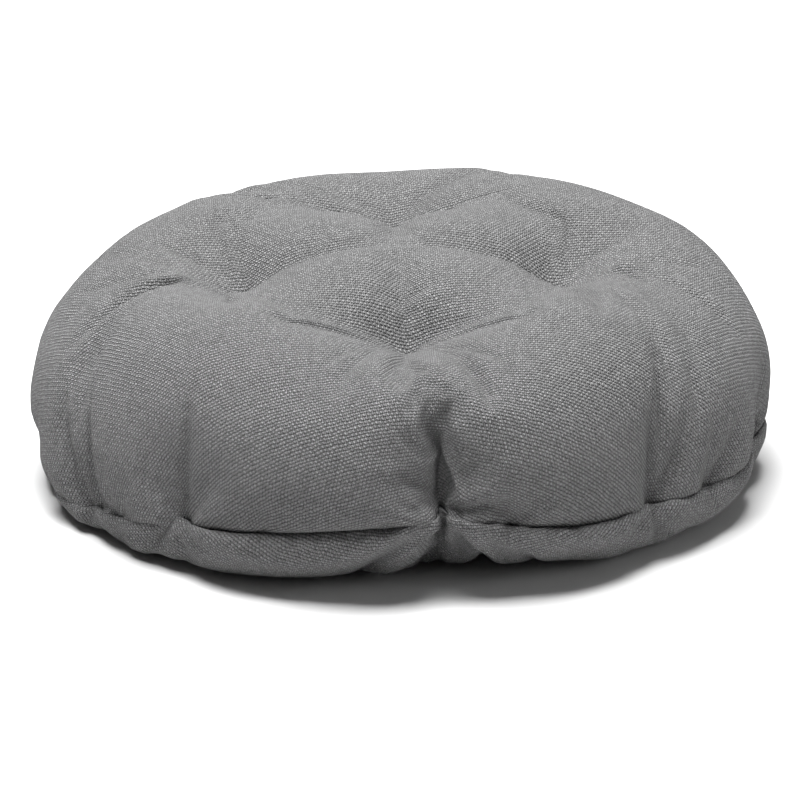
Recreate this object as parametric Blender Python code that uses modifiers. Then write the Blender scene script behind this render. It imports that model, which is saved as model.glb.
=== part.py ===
"""Round tufted floor cushion, in metres, +Z up, standing on z = 0 with its centre on the Z axis.

Two round cloth panels are sewn together at a low rim seam, turned right side out, filled with loose
fibre and closed by hand at the back. Four loops of twine pull the top and the underside together.
"""

import math

import bmesh
import bpy

# Driving dimensions
CUSHION_DIAMETER = 0.450
CUSHION_HEIGHT = 0.148
WIDEST_HEIGHT = 0.050  # height of the widest point of the rim
CROWN_POWER = 2.8  # 2 is an ellipse, more is a fuller shoulder
BOTTOM_ROUNDING = 0.025  # from the widest point in to the edge of the flat underside
SEAM_HEIGHT = 0.028
SEAM_TUCK = 0.003  # how far the seam pulls the rim in
SEAM_SHOULDER = 0.007  # height over which the rim swells out again from the seam
SEAM_ALLOWANCE = 0.010

CLOTH = 0.0012
GAP = 0.0003  # between pieces that touch
FILLING_CLEARANCE = 0.0009

TUFT_RADIUS = 0.094  # from the centre of the cushion to each tuft
TUFT_DEPTH = 0.045
UNDER_TUFT_DEPTH = 0.012
TUFT_SEAT_RADIUS = 0.005
TUFT_REACH = 0.017
FOLD_DEPTH = 0.020  # the folds that run out from each tuft along X and Y
FOLD_WIDTH = 0.013
FOLD_REACH = 0.042

TWINE_DIAMETER = 0.0016
TWINE_STITCH = 0.004  # between the two legs of one loop
TWINE_ARCH = 0.001  # how far the loop stands above its two needle holes
KNOT_SWELL = 1.7
THREAD_DIAMETER = 0.0008
STITCH_INSET = 0.004  # from the seam line in to the machine stitches
CLOSING_ANGLE = math.radians(40)  # the hand-sewn stretch, at the back
CLOSING_PROUD = 0.0006  # how far the hand stitches stand off the seam line

# Fineness of the meshes
TURN_STEPS = 40
RING_STEP = 0.014
RIM_POINTS = 10
TUFT_REFINED = 0.018  # the mesh is cut finer this near to a tuft
TUFT_CUTS = 2
SLOPE_STEP = 0.005
ARCH_POINTS = 7
KNOT_POINTS = 3  # of the arch points, the middle ones
THREAD_STEP = math.radians(5)
AXIS_MERGE = 0.00002

RADIUS = CUSHION_DIAMETER / 2
UNDERSIDE_RADIUS = RADIUS - BOTTOM_ROUNDING
CROWN_RISE = CUSHION_HEIGHT - WIDEST_HEIGHT
TUFTS = {
    "front": (0.0, -TUFT_RADIUS),
    "right": (TUFT_RADIUS, 0.0),
    "back": (0.0, TUFT_RADIUS),
    "left": (-TUFT_RADIUS, 0.0),
}


# Scene, collections and materials

def clear_scene():
    for item in list(bpy.data.objects):
        bpy.data.objects.remove(item, do_unlink=True)


def new_collection(name):
    collection = bpy.data.collections.new(name)
    bpy.context.scene.collection.children.link(collection)
    return collection


def new_material(name, colour, roughness):
    material = bpy.data.materials.new(name)
    material.use_nodes = True
    shader = material.node_tree.nodes["Principled BSDF"]
    shader.inputs["Base Color"].default_value = (*colour, 1.0)
    shader.inputs["Roughness"].default_value = roughness
    shader.inputs["Metallic"].default_value = 0.0
    return material


# The turned outline of the cushion

def crown_height(radius):
    """Height of the untufted top at this radius."""
    share = min(radius / RADIUS, 1.0)
    return WIDEST_HEIGHT + CROWN_RISE * (1 - share**CROWN_POWER) ** (1 / CROWN_POWER)


def rim_radius(height):
    """Radius of the rim at a height between the floor and the widest point, tucked in at the seam."""
    drop = (WIDEST_HEIGHT - height) / WIDEST_HEIGHT
    full = UNDERSIDE_RADIUS + BOTTOM_ROUNDING * math.sqrt(max(0.0, 1 - drop**2))
    from_seam = min(abs(height - SEAM_HEIGHT) / SEAM_SHOULDER, 1.0)
    return full - SEAM_TUCK * (1 - from_seam) ** 2


def spaced(start, end, step):
    """Values from start to end in equal steps of at most this step, without start."""
    count = max(1, math.ceil(abs(end - start) / step - 1e-6))
    return [start + (end - start) * i / count for i in range(1, count + 1)]


def crown_outline():
    """(radius, height) points from the centre of the top out to the widest point."""
    level = TUFT_RADIUS + (RADIUS - TUFT_RADIUS) / 2
    radii = [0.0] + spaced(0.0, TUFT_RADIUS, RING_STEP) + spaced(TUFT_RADIUS, level, RING_STEP)
    points = [(radius, crown_height(radius)) for radius in radii]
    start = math.acos((level / RADIUS) ** (CROWN_POWER / 2))
    for i in range(1, RIM_POINTS + 1):
        angle = start * (1 - i / RIM_POINTS)
        radius = RADIUS * math.cos(angle) ** (2 / CROWN_POWER)
        height = WIDEST_HEIGHT + CROWN_RISE * math.sin(angle) ** (2 / CROWN_POWER)
        points.append((radius, height))
    return points


def upper_rim_outline():
    """From below the widest point down to the seam."""
    heights = spaced(WIDEST_HEIGHT, SEAM_HEIGHT + SEAM_SHOULDER, SEAM_SHOULDER)
    heights += [SEAM_HEIGHT + SEAM_SHOULDER / 2, SEAM_HEIGHT + GAP / 2]
    return [(rim_radius(height), height) for height in heights]


def lower_rim_outline():
    """From the seam down to the edge of the flat underside."""
    heights = [SEAM_HEIGHT - GAP / 2, SEAM_HEIGHT - SEAM_SHOULDER / 2, SEAM_HEIGHT - SEAM_SHOULDER]
    points = [(rim_radius(height), height) for height in heights]
    start = math.asin((WIDEST_HEIGHT - heights[-1]) / WIDEST_HEIGHT)
    for angle in spaced(start, math.pi / 2, math.radians(12)):
        height = WIDEST_HEIGHT * (1 - math.sin(angle))
        points.append((rim_radius(height), height))
    return points


def underside_outline():
    """From the edge of the underside in to the axis."""
    radii = spaced(UNDERSIDE_RADIUS, TUFT_RADIUS, RING_STEP) + spaced(TUFT_RADIUS, 0.0, RING_STEP)
    return [(radius, 0.0) for radius in radii]


def inset(points, depth):
    """The outline moved inwards, square to itself. Points run from the top down the outer side."""
    moved = []
    for i, (radius, height) in enumerate(points):
        before = points[max(i - 1, 0)]
        after = points[min(i + 1, len(points) - 1)]
        along = (after[0] - before[0], after[1] - before[1])
        length = math.hypot(*along)
        out = (-along[1] / length, along[0] / length)
        inner = radius - depth * out[0] if radius > 0 else 0.0
        moved.append((inner, height - depth * out[1]))
    return moved


# Tufting: how far the top is pulled down, and the underside pulled up, at each place

def pull_shape(x, y):
    """1 at a tuft and 0 far from all of them, with a shallower fold along X and Y."""
    pull = 0.0
    for tuft_x, tuft_y in TUFTS.values():
        dx, dy = abs(x - tuft_x), abs(y - tuft_y)
        away = max(0.0, math.hypot(dx, dy) - TUFT_SEAT_RADIUS)
        pull = max(pull, math.exp(-away / TUFT_REACH))
        for along, across in ((dx, dy), (dy, dx)):
            fold = math.exp(-((across / FOLD_WIDTH) ** 2)) * math.exp(-along / FOLD_REACH)
            pull = max(pull, FOLD_DEPTH / TUFT_DEPTH * fold)
    return pull


def fade_at_rim(x, y):
    """1 over the middle of the cushion, falling to 0 before the rim turns down."""
    fade_width = (UNDERSIDE_RADIUS - TUFT_RADIUS) / 2
    share = (UNDERSIDE_RADIUS - SEAM_ALLOWANCE - math.hypot(x, y)) / fade_width
    return min(1.0, max(0.0, share))


def top_drop(x, y):
    return TUFT_DEPTH * pull_shape(x, y) * fade_at_rim(x, y)


def underside_rise(x, y):
    away = min(math.hypot(x - tx, y - ty) for tx, ty in TUFTS.values())
    return UNDER_TUFT_DEPTH * math.exp(-((max(0.0, away - TUFT_SEAT_RADIUS) / TUFT_REACH) ** 2))


def steepness(pull, x, y):
    """A height through the pulled cloth, over its thickness square to its surface."""
    slope_x = (pull(x + SLOPE_STEP, y) - pull(x - SLOPE_STEP, y)) / (2 * SLOPE_STEP)
    slope_y = (pull(x, y + SLOPE_STEP) - pull(x, y - SLOPE_STEP)) / (2 * SLOPE_STEP)
    return math.sqrt(1 + slope_x**2 + slope_y**2)


# Pieces

def turned_mesh(name, outline, material):
    """The mesh of an outline turned about Z. The outline starts and ends on the axis."""
    profile = bpy.data.meshes.new(name + "_profile")
    edges = [(i, i + 1) for i in range(len(outline) - 1)]
    profile.from_pydata([(radius, 0.0, height) for radius, height in outline], edges, [])
    turned = bpy.data.objects.new(name + "_turned", profile)
    bpy.context.scene.collection.objects.link(turned)
    screw = turned.modifiers.new("Turn", "SCREW")
    screw.axis = "Z"
    screw.steps = TURN_STEPS
    screw.render_steps = TURN_STEPS
    screw.use_merge_vertices = True
    screw.merge_threshold = AXIS_MERGE
    graph = bpy.context.evaluated_depsgraph_get()
    mesh = bpy.data.meshes.new_from_object(turned.evaluated_get(graph))
    bpy.data.objects.remove(turned, do_unlink=True)
    mesh.name = name
    mesh.materials.append(material)
    return mesh


def pull_in_tufts(mesh, layer_of):
    """Cuts the mesh finer round each tuft and pulls it in.

    layer_of(radius, height) gives the pull there, its direction, and the depth below the outer face.
    """
    work = bmesh.new()
    work.from_mesh(mesh)
    near = set()
    for face in work.faces:
        middle = face.calc_center_median()
        for x, y in TUFTS.values():
            if math.hypot(middle.x - x, middle.y - y) < TUFT_REFINED:
                near.update(face.edges)
    bmesh.ops.subdivide_edges(work, edges=list(near), cuts=TUFT_CUTS, use_grid_fill=True)
    for vertex in work.verts:
        x, y, height = vertex.co
        pull, direction, depth = layer_of(math.hypot(x, y), height)
        vertex.co.z += direction * (pull(x, y) + depth * (steepness(pull, x, y) - 1))
    bmesh.ops.triangulate(work, faces=work.faces[:], quad_method="SHORT_EDGE")
    work.to_mesh(mesh)
    work.free()
    mesh.shade_smooth()
    mesh.set_sharp_from_angle(angle=math.radians(50))


def top_cover_layer(radius, height):
    depth = CLOTH if height < crown_height(radius) - CLOTH / 2 else 0.0
    return top_drop, -1, depth


def bottom_cover_layer(_radius, height):
    depth = CLOTH if height > CLOTH / 2 else 0.0
    return underside_rise, 1, depth


def filling_layer(_radius, height):
    depth = CLOTH + FILLING_CLEARANCE
    return (top_drop, -1, depth) if height > SEAM_HEIGHT else (underside_rise, 1, depth)


def make_top_cover(material, collection):
    outer = crown_outline() + upper_rim_outline()
    inner = inset(outer, CLOTH)[:-1]
    seam_radius, seam_face = outer[-1]
    edge = seam_radius - SEAM_ALLOWANCE
    flange = [(edge, seam_face), (edge, seam_face + CLOTH), (seam_radius - 2 * CLOTH, seam_face + CLOTH)]
    mesh = turned_mesh("top_cover", outer + flange + inner[::-1], material)
    pull_in_tufts(mesh, top_cover_layer)
    return place("top_cover", mesh, collection)


def make_bottom_cover(material, collection):
    outer = lower_rim_outline() + underside_outline()
    inner = inset(outer, CLOTH)[1:]
    seam_radius, seam_face = outer[0]
    edge = seam_radius - SEAM_ALLOWANCE
    flange = [(seam_radius - 2 * CLOTH, seam_face - CLOTH), (edge, seam_face - CLOTH), (edge, seam_face)]
    mesh = turned_mesh("bottom_cover", inner[::-1] + flange + outer, material)
    pull_in_tufts(mesh, bottom_cover_layer)
    return place("bottom_cover", mesh, collection)


def make_filling(material, collection):
    """The fibre fills both covers and stops short of the seam allowances and their stitches."""
    depth = CLOTH + FILLING_CLEARANCE
    allowance = CLOTH + GAP + THREAD_DIAMETER + FILLING_CLEARANCE
    notch_top, notch_bottom = SEAM_HEIGHT + allowance, SEAM_HEIGHT - allowance
    edge = rim_radius(SEAM_HEIGHT) - SEAM_ALLOWANCE - FILLING_CLEARANCE
    upper = inset(crown_outline() + upper_rim_outline(), depth)
    lower = inset(lower_rim_outline() + underside_outline(), depth)
    corner = rim_radius(SEAM_HEIGHT) - 2 * CLOTH - FILLING_CLEARANCE
    notch = [(corner, notch_top), (edge, notch_top), (edge, notch_bottom), (corner, notch_bottom)]
    upper = [point for point in upper if point[1] > SEAM_HEIGHT + SEAM_SHOULDER - depth]
    lower = [point for point in lower if point[1] < SEAM_HEIGHT - SEAM_SHOULDER + depth]
    mesh = turned_mesh("filling", upper + notch + lower, material)
    pull_in_tufts(mesh, filling_layer)
    return place("filling", mesh, collection)


def thread_curve(name, points, diameter, cyclic, material):
    """A round thread along (x, y, z, swell) points."""
    curve = bpy.data.curves.new(name, "CURVE")
    curve.dimensions = "3D"
    curve.bevel_depth = diameter / 2
    curve.bevel_resolution = 1
    curve.use_fill_caps = True
    spline = curve.splines.new("POLY")
    spline.points.add(len(points) - 1)
    spline.use_cyclic_u = cyclic
    spline.use_smooth = True
    for target, (x, y, z, swell) in zip(spline.points, points):
        target.co = (x, y, z, 1.0)
        target.radius = swell
    curve.materials.append(material)
    return curve


def place(name, data, collection, location=(0.0, 0.0, 0.0)):
    piece = bpy.data.objects.new(name, data)
    piece.location = location
    collection.objects.link(piece)
    return piece


def make_seam_thread(name, radius, height, start, end, material, collection):
    angles = [start] + spaced(start, end, THREAD_STEP)
    points = [(radius * math.cos(a), radius * math.sin(a), height, 1.0) for a in angles]
    curve = thread_curve(name, points, THREAD_DIAMETER, False, material)
    return place(name, curve, collection)


def tuft_twine_curve(material):
    """One loop of twine about its tuft: an arch on the top, two legs, and a knot under the underside."""
    seat_top = crown_height(TUFT_RADIUS) - TUFT_DEPTH + GAP + TWINE_DIAMETER / 2
    seat_bottom = UNDER_TUFT_DEPTH - GAP - TWINE_DIAMETER / 2
    points = []
    for seat, direction in ((seat_top, 1), (seat_bottom, -1)):
        for i in range(ARCH_POINTS):
            angle = math.pi * i / (ARCH_POINTS - 1)
            from_middle = abs(i - (ARCH_POINTS - 1) / 2)
            knotted = direction < 0 and from_middle <= (KNOT_POINTS - 1) / 2
            across = direction * TWINE_STITCH / 2 * math.cos(angle)
            height = seat + direction * TWINE_ARCH * math.sin(angle)
            points.append((across, 0.0, height, KNOT_SWELL if knotted else 1.0))
    return thread_curve("tuft_twine", points, TWINE_DIAMETER, True, material)


def needle_holes(collection):
    """Cutters for the two holes at each tuft that the twine passes through."""
    bpy.ops.mesh.primitive_cylinder_add(
        vertices=8, radius=TWINE_DIAMETER / 2 + GAP, depth=2 * CUSHION_HEIGHT
    )
    pattern = bpy.context.object
    shape = pattern.data
    bpy.data.objects.remove(pattern, do_unlink=True)
    for name, (x, y) in TUFTS.items():
        for side, offset in (("left", -TWINE_STITCH / 2), ("right", TWINE_STITCH / 2)):
            cutter = place(f"needle_hole_{name}_{side}", shape, collection, (x + offset, y, 0.0))
            cutter.hide_render = True
            cutter.display_type = "WIRE"


def cut_needle_holes(piece, cutter_collection):
    cut = piece.modifiers.new("Needle holes", "BOOLEAN")
    cut.operation = "DIFFERENCE"
    cut.operand_type = "COLLECTION"
    cut.collection = cutter_collection
    cut.solver = "EXACT"


def main():
    clear_scene()
    cushion = new_collection("floor_cushion")
    cutters = new_collection("needle_hole_cutters")
    canvas = new_material("grey_canvas", (0.150, 0.150, 0.153), 0.95)
    fibre = new_material("white_fibre", (0.80, 0.80, 0.78), 1.0)
    thread = new_material("grey_thread", (0.120, 0.120, 0.123), 0.7)
    twine = new_material("grey_twine", (0.110, 0.110, 0.113), 0.8)

    pieces = [
        make_top_cover(canvas, cushion),
        make_bottom_cover(canvas, cushion),
        make_filling(fibre, cushion),
    ]
    needle_holes(cutters)
    for piece in pieces:
        cut_needle_holes(piece, cutters)

    back = math.pi / 2
    opening = CLOSING_ANGLE / 2
    seam_radius = rim_radius(SEAM_HEIGHT)
    stitch_radius = seam_radius - STITCH_INSET
    above_flange = GAP / 2 + CLOTH + GAP + THREAD_DIAMETER / 2
    for name, height in (
        ("seam_needle_thread", SEAM_HEIGHT + above_flange),
        ("seam_bobbin_thread", SEAM_HEIGHT - above_flange),
    ):
        start, end = back + opening, back + 2 * math.pi - opening
        make_seam_thread(name, stitch_radius, height, start, end, thread, cushion)
    closing_radius = seam_radius + CLOSING_PROUD + THREAD_DIAMETER / 2
    make_seam_thread(
        "closing_seam_thread", closing_radius, SEAM_HEIGHT, back - opening, back + opening, thread, cushion
    )
    loop = tuft_twine_curve(twine)
    for name, (x, y) in TUFTS.items():
        place("tuft_twine_" + name, loop, cushion, (x, y, 0.0))

    centre = place("cushion_centre", None, cushion)
    for piece in cushion.objects:
        if piece is not centre:
            piece.parent = centre


main()
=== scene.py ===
# %% [markdown]
# # A tufted round floor cushion in grey canvas
# The cushion is two round panels of coarse canvas, sewn together at the rim, turned right side out,
# stuffed with fibre and closed by hand at the back. Four loops of waxed twine run right through it and
# pull four tufts down into the top. Nothing on it is stiff, so nearly all of its shape comes from cloth
# that is a little too big for the space it fills.
#
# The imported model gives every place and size: the rim, the height, the seam and the four tufts. This
# script keeps those, and replaces each plain solid with a piece that is made the way the real one is.

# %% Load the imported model
import math

import bmesh
import bpy
import numpy as np
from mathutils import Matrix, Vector
from mathutils.bvhtree import BVHTree
from mathutils.geometry import delaunay_2d_cdt


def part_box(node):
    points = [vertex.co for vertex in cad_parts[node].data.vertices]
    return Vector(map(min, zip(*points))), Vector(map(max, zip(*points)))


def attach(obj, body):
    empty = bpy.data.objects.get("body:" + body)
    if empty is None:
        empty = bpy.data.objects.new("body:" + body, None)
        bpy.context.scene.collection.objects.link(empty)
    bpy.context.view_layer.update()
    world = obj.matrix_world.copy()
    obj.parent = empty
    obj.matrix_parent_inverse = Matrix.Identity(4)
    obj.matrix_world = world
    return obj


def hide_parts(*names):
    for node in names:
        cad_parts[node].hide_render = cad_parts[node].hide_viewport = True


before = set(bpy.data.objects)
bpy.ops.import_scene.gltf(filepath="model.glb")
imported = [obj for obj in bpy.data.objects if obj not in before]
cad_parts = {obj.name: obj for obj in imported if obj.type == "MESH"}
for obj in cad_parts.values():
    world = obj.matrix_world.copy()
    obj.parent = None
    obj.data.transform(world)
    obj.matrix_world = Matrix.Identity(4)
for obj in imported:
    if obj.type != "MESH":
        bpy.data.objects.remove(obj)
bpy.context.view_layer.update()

scene = bpy.context.scene
print("nodes:", ", ".join(sorted(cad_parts)))

# %% [markdown]
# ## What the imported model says
# The cushion stands on its underside with its axis on the z axis. Its radius is half the width of the
# top cover. That cover starts at the seam's height, and the seam lies a little inside the widest place,
# because the stuffed panels bulge past it. The twines give the four tufts.

# %% Sizes from the frame
SIDES = ("front", "right", "back", "left")
SEAM_SETBACK = 0.010

cover_low, cover_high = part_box("top_cover")
cushion_radius = (cover_high.x - cover_low.x) / 2
cushion_height = cover_high.z
seam_height = cover_low.z
seam_radius = cushion_radius - SEAM_SETBACK


def tuft_place(side):
    """The middle of a tuft seen from above."""
    low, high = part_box("tuft_twine_" + side)
    return Vector(((low.x + high.x) / 2, (low.y + high.y) / 2))


tufts = {side: tuft_place(side) for side in SIDES}
tuft_radius = tufts["right"].x
print(f"radius {cushion_radius:.4f} m, height {cushion_height:.4f} m, seam at {seam_height:.4f} m")
print(f"tufts {tuft_radius:.4f} m out from the middle")

# %% [markdown]
# ## Camera
# The camera stands far off with a long lens, which keeps the perspective weak. It looks down at the
# cushion by a little more than twenty degrees. Three helpers come first, because almost every step ends
# by putting an object into the scene, and some take the finished mesh of one or need a flat square.

# %% Helpers for objects
def add_object(name, data):
    piece = bpy.data.objects.new(name, data)
    scene.collection.objects.link(piece)
    return piece


def add_square(name, reach, height):
    """A flat square round the axis."""
    mesh = bpy.data.meshes.new(name)
    corners = ((-1, -1), (1, -1), (1, 1), (-1, 1))
    mesh.from_pydata([(x * reach, y * reach, height) for x, y in corners], [], [(0, 1, 2, 3)])
    return add_object(name, mesh)


def finished_mesh(piece):
    """A piece's mesh as it is with all its modifiers applied."""
    return bpy.data.meshes.new_from_object(piece.evaluated_get(bpy.context.evaluated_depsgraph_get()))


# %% Camera
CAMERA_AZIMUTH = math.radians(-3.0)
CAMERA_ELEVATION = math.radians(21.5)
CAMERA_DISTANCE = 5.0
VIEW_WIDTH_IN_CUSHIONS = 1.0867
AIM_HEIGHT = 0.0434
AIM_ASIDE = 0.0012


def add_camera():
    aside = Vector((math.cos(CAMERA_AZIMUTH), math.sin(CAMERA_AZIMUTH), 0))
    towards = Vector((
        math.sin(CAMERA_AZIMUTH) * math.cos(CAMERA_ELEVATION),
        -math.cos(CAMERA_AZIMUTH) * math.cos(CAMERA_ELEVATION),
        math.sin(CAMERA_ELEVATION),
    ))
    data = bpy.data.cameras.new("camera")
    data.sensor_width = 36
    data.lens = data.sensor_width * CAMERA_DISTANCE / (VIEW_WIDTH_IN_CUSHIONS * 2 * cushion_radius)
    data.clip_end = 40
    camera = add_object("camera", data)
    camera.location = aside * AIM_ASIDE + Vector((0, 0, AIM_HEIGHT)) + towards * CAMERA_DISTANCE
    camera.rotation_euler = towards.to_track_quat("Z", "Y").to_euler()
    scene.camera = camera
    print(f"camera: {data.lens:.0f} mm lens at {CAMERA_DISTANCE} m")


add_camera()

# %% [markdown]
# ## Floor and lights
# A cushion like this is shown on a white sweep. One large soft light hangs overhead, so the top is
# bright, the sides fall off, and the underside only gets what the floor throws back. A second, weak one
# stands at the right and lifts that side a little.

# %% Floor and lights
FLOOR_REACH = 6.0
FLOOR_HEIGHT = -0.0005
LIGHT_AIM = Vector((0, 0, 0.1))


def add_light(name, place, size, watts):
    data = bpy.data.lights.new(name, "AREA")
    data.shape = "DISK"
    data.size = size
    data.energy = watts
    light = add_object(name, data)
    light.location = place
    light.rotation_euler = (Vector(place) - LIGHT_AIM).to_track_quat("Z", "Y").to_euler()


def add_studio():
    floor = add_square("floor", FLOOR_REACH, FLOOR_HEIGHT)
    material = bpy.data.materials.new("white_sweep")
    material.use_nodes = True
    shader = material.node_tree.nodes["Principled BSDF"]
    shader.inputs["Base Color"].default_value = (0.72, 0.72, 0.72, 1)
    shader.inputs["Roughness"].default_value = 0.9
    floor.data.materials.append(material)

    add_light("overhead_softbox", (-0.2, 0.15, 2.4), 2.0, 178)
    add_light("side_fill", (2.6, -1.6, 1.5), 1.6, 16)
    world = bpy.data.worlds.new("studio_air")
    world.use_nodes = True
    world.node_tree.nodes["Background"].inputs["Color"].default_value = (1, 1, 1, 1)
    world.node_tree.nodes["Background"].inputs["Strength"].default_value = 0.07
    scene.world = world
    scene.view_settings.view_transform = "Standard"


add_studio()

# %% [markdown]
# ## The seam line
# A round panel that bulges outwards has to lose length at its edge. The machine sews that spare length
# into small pleats, so the seam isn't a circle: it steps inwards at each pleat, and it rides up and down
# where the filling pushes it. The seam is written as one curve in space, and both panels are sewn to it.
# Angles go round from the front of the cushion towards its right side.

# %% Pleats and seam curve
# Each pleat: its angle in degrees, then in metres how deep it runs in, half its width, and how far up
# the top panel it reaches.
PLEATS = (
    (4.4, 0.025, 0.0045, 0.068), (14.4, 0.004, 0.004, 0.025), (42, 0.008, 0.006, 0.040),
    (54.5, 0.004, 0.005, 0.025), (75, 0.009, 0.006, 0.045), (97, 0.007, 0.006, 0.025),
    (112, 0.008, 0.006, 0.030), (131, 0.006, 0.006, 0.025), (149, 0.009, 0.006, 0.040),
    (166, 0.007, 0.006, 0.025), (182, 0.008, 0.006, 0.035), (201, 0.007, 0.006, 0.025),
    (219, 0.009, 0.006, 0.040), (236, 0.006, 0.006, 0.025), (252, 0.008, 0.006, 0.030),
    (266, 0.006, 0.006, 0.025), (280, 0.006, 0.006, 0.025), (299.3, 0.008, 0.006, 0.030),
    (306, 0.004, 0.005, 0.025), (320.6, 0.008, 0.006, 0.030), (335.6, 0.002, 0.006, 0.020),
)
# How far the seam rides up (or down) along the rim: the middle, half width in degrees, and metres.
SEAM_RISES = (
    (0, 31, 0.021), (-65, 22, -0.017), (45, 10, 0.003), (-41, 12, 0.003),
    (117, 20, 0.004), (157, 20, -0.004), (212, 25, 0.005),
)
# How far the seam stands out (or in): the middle and half width in degrees, and metres.
SEAM_SWELLS = ((-14, 22, 0.005), (22, 16, 0.004), (-112, 38, -0.007), (64, 16, 0.005), (-76, 14, 0.006))


def hump(angle, middle, width):
    """A smooth bell round an angle, 1 at its middle."""
    away = (angle - middle + 180) % 360 - 180
    return math.exp(-((away / width) ** 2))


def seam_point(angle):
    """The seam's point in space at an angle from the front."""
    radius = seam_radius + sum(out * hump(angle, middle, width) for middle, width, out in SEAM_SWELLS)
    height = seam_height + sum(rise * hump(angle, middle, width) for middle, width, rise in SEAM_RISES)
    for middle, depth, half_width, _ in PLEATS:
        fold = depth * hump(angle, middle, math.degrees(half_width / seam_radius))
        radius -= fold
        height += 0.15 * fold
    turn = math.radians(angle)
    return radius * math.sin(turn), -radius * math.cos(turn), height


seam_angles = np.arange(0, 360, 0.05)
seam_curve = np.array([seam_point(angle) for angle in seam_angles])
seam_steps = np.linalg.norm(np.roll(seam_curve, -1, axis=0) - seam_curve, axis=1)
seam_along = np.concatenate([[0], np.cumsum(seam_steps)])
print(f"seam {seam_along[-1]:.3f} m long with {len(PLEATS)} pleats")

# %% [markdown]
# ## Two round panels
# Each panel is cut flat as a circle. The cut is meshed as a square grid of threads that run along x and
# y, because woven cloth is stiff along its threads and gives on the slant, and the grid makes the
# simulated cloth behave like that. Only the edge is different: it is a ring of points spread evenly
# along the seam, and both panels have the same number, so each point of one meets a point of the other.
# A constrained triangulation joins grid and ring, and triangles that make a good square are merged.
#
# Where the cloth was cut flat is kept as the piece's UV map, in metres, so the weave later follows the
# threads into every fold.

# %% Flat panels
CELL = 0.005
TOP_CUT_RADIUS = 0.310
BOTTOM_CUT_RADIUS = 0.266
TOP_TUFTS_IN_CUT = 0.109
BOTTOM_TUFTS_IN_CUT = 0.097

ring_count = round(2 * math.pi * TOP_CUT_RADIUS / CELL)
ring_spots = np.arange(ring_count) / ring_count
ring_angles = np.interp(ring_spots * seam_along[-1], seam_along, np.append(seam_angles, 360.0))
cut_angles = ring_spots * 360
cut_angles += (ring_angles - cut_angles).mean()


def on_circle(angle, radius):
    turn = math.radians(angle)
    return Vector((radius * math.sin(turn), -radius * math.cos(turn)))


def cut_panel(name, cut_radius, tufts_in_cut):
    """A flat round panel in mostly square cells, its ring of edge points first, with its cut as UV map."""
    spacing = tufts_in_cut / round(tufts_in_cut / CELL)
    reach = int(cut_radius / spacing) + 1
    points = [on_circle(angle, cut_radius) for angle in cut_angles]
    for i in range(-reach, reach + 1):
        for j in range(-reach, reach + 1):
            point = Vector((i * spacing, j * spacing))
            if point.length < cut_radius - 0.62 * spacing:
                points.append(point)
    edge = [(i, (i + 1) % ring_count) for i in range(ring_count)]
    corners, _, faces, *_ = delaunay_2d_cdt(points, edge, [], 1, 1e-7)

    grid = bmesh.new()
    verts = [grid.verts.new((corner.x, corner.y, 0)) for corner in corners]
    for face in faces:
        grid.faces.new([verts[i] for i in face])
    bmesh.ops.join_triangles(
        grid, faces=grid.faces[:],
        angle_face_threshold=3.2, angle_shape_threshold=0.7, topology_influence=0,
    )
    for face in grid.faces:
        face.normal_update()
        if face.normal.z < 0:
            face.normal_flip()
        face.smooth = True
    cut_map = grid.loops.layers.uv.new("cut")
    for face in grid.faces:
        for loop in face.loops:
            loop[cut_map].uv = (loop.vert.co.x + 0.5, loop.vert.co.y + 0.5)
    mesh = bpy.data.meshes.new(name)
    grid.to_mesh(mesh)
    grid.free()
    print(f"{name}: cut {2 * cut_radius:.3f} m across, {len(mesh.vertices)} points")
    return mesh


def points_of(mesh):
    """A mesh's points as rows of x, y, z."""
    flat = np.empty(len(mesh.vertices) * 3)
    mesh.vertices.foreach_get("co", flat)
    return flat.reshape(-1, 3)


# %% [markdown]
# ## From flat to stuffed
# The cloth solver needs a fair first shape. Each panel is first bent over a simple round body, point by
# point: how far a point lies from the middle of the cut becomes how far it lies along the body's
# outline. Over the top that outline is a rounded square, and underneath it is flat out to the place
# where the bottom panel turns up to the seam.

# %% The body's outline
CROWN_POWER = 2.8
WIDEST_HEIGHT = 0.050
UNDERSIDE_RADIUS = 0.200
UNDERSIDE_TURN_UP = (0.023, 0.045)


def body_outline(is_top):
    """Radius and height along the body, from its axis out to the seam, and the length so far."""
    if is_top:
        turns = np.linspace(math.pi / 2, 0, 200)
        radius = cushion_radius * np.maximum(np.cos(turns), 0) ** (2 / CROWN_POWER)
        rise = cushion_height - WIDEST_HEIGHT
        height = WIDEST_HEIGHT + rise * np.maximum(np.sin(turns), 0) ** (2 / CROWN_POWER)
    else:
        turns = np.linspace(0, 0.75 * math.pi / 2, 30)
        flat = np.linspace(0, UNDERSIDE_RADIUS, 50)[:-1]
        out, up = UNDERSIDE_TURN_UP
        radius = np.append(flat, UNDERSIDE_RADIUS + out * np.sin(turns))
        height = np.append(np.zeros(49), up * (1 - np.cos(turns)))
    radius = np.append(radius, seam_radius)
    height = np.append(height, seam_height)
    along = np.concatenate([[0], np.cumsum(np.hypot(np.diff(radius), np.diff(height)))])
    return radius, height, along


for is_top in (True, False):
    print("top" if is_top else "bottom", f"outline: {body_outline(is_top)[2][-1]:.3f} m from axis to seam")

# %% [markdown]
# ## Valleys between the tufts
# The twine pulls the cloth into valleys that run through each tuft, along and across the cushion. The
# fibre under a valley is pressed together, so it can't lift the cloth there. The valley's floor is
# therefore set: it is lowest at the tuft and climbs away from it, quickly at first. The valleys reach
# further to the sides than to the front, where the front pleat takes over.

# %% Valleys
TUFT_HOLD_TOP = 0.105
VALLEY_WIDTH = 0.010
VALLEY_FADE = 0.02
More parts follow.
